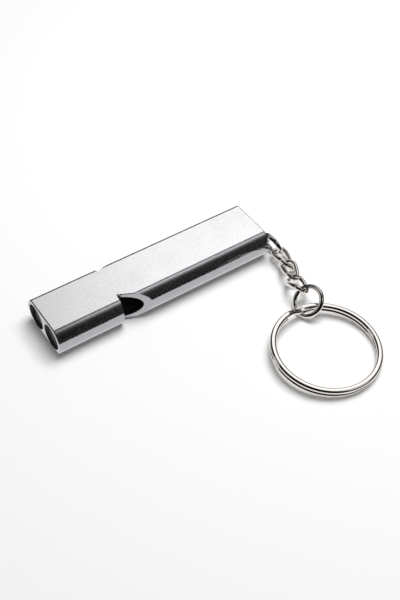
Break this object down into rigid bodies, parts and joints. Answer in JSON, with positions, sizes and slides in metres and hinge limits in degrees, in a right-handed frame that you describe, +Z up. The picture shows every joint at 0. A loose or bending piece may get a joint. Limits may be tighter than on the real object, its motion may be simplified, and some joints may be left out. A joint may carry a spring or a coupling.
{
  "type": "referee whistle with key ring",
  "caption": "Flat twin-tube metal whistle with a slanted sound window in each side, a short curb chain on small rings and a flat split key ring.",
  "frame": {"origin": "centre of the whistle body's flat underside, which lies on the table", "axes": "+X along the whistle from the mouth end to the tail, -Y towards the key ring and the camera, +Z up"},
  "size_m": [0.0657, 0.0617, 0.0081],
  "materials": {
    "satin_aluminium": "satin",
    "dark_plug": "matte",
    "nickel": "polished"
  },
  "bodies": {
    "whistle": {"whistle_body": "satin_aluminium", "front_windway_plug": "dark_plug", "back_windway_plug": "dark_plug", "front_end_plug": "satin_aluminium", "back_end_plug": "satin_aluminium"},
    "tail_ring": {"tail_ring": "nickel"},
    "chain_link_1": {"chain_link_1": "nickel"},
    "chain_link_2": {"chain_link_2": "nickel"},
    "chain_link_3": {"chain_link_3": "nickel"},
    "small_ring": {"small_ring": "nickel"},
    "key_ring": {"key_ring": "nickel"}
  },
  "joints": [
    {"name": "tail_ring_swing", "type": "hinge", "parent": "whistle", "child": "tail_ring", "pos_m": [0.03129, -0.00424, 0.00365], "axis": [0, 0, 1], "range_deg": [-1, 40]},
    {"name": "chain_link_1_swing", "type": "hinge", "parent": "tail_ring", "child": "chain_link_1", "pos_m": [0.03227, -0.0083, 0.00078], "axis": [0.015, 0.9498, -0.3125], "range_deg": [-30, 10]},
    {"name": "chain_link_2_swing", "type": "hinge", "parent": "chain_link_1", "child": "chain_link_2", "pos_m": [0.03336, -0.0131, 0.00059], "axis": [-0.6229, -0.4279, 0.6549], "range_deg": [-1, 30]},
    {"name": "chain_link_3_swing", "type": "hinge", "parent": "chain_link_2", "child": "chain_link_3", "pos_m": [0.02946, -0.01925, 0.00211], "axis": [0.5829, -0.1764, -0.7932], "range_deg": [-15, 30]},
    {"name": "small_ring_swing", "type": "hinge", "parent": "chain_link_3", "child": "small_ring", "pos_m": [0.02839, -0.02494, 0.00363], "axis": [0.7652, 0.1151, -0.6334], "range_deg": [-30, 30]},
    {"name": "key_ring_swing", "type": "hinge", "parent": "small_ring", "child": "key_ring", "pos_m": [0.02821, -0.0307, 0.00394], "axis": [0.7096, 0.3251, 0.6251], "range_deg": [-1, 25]}
  ]
}
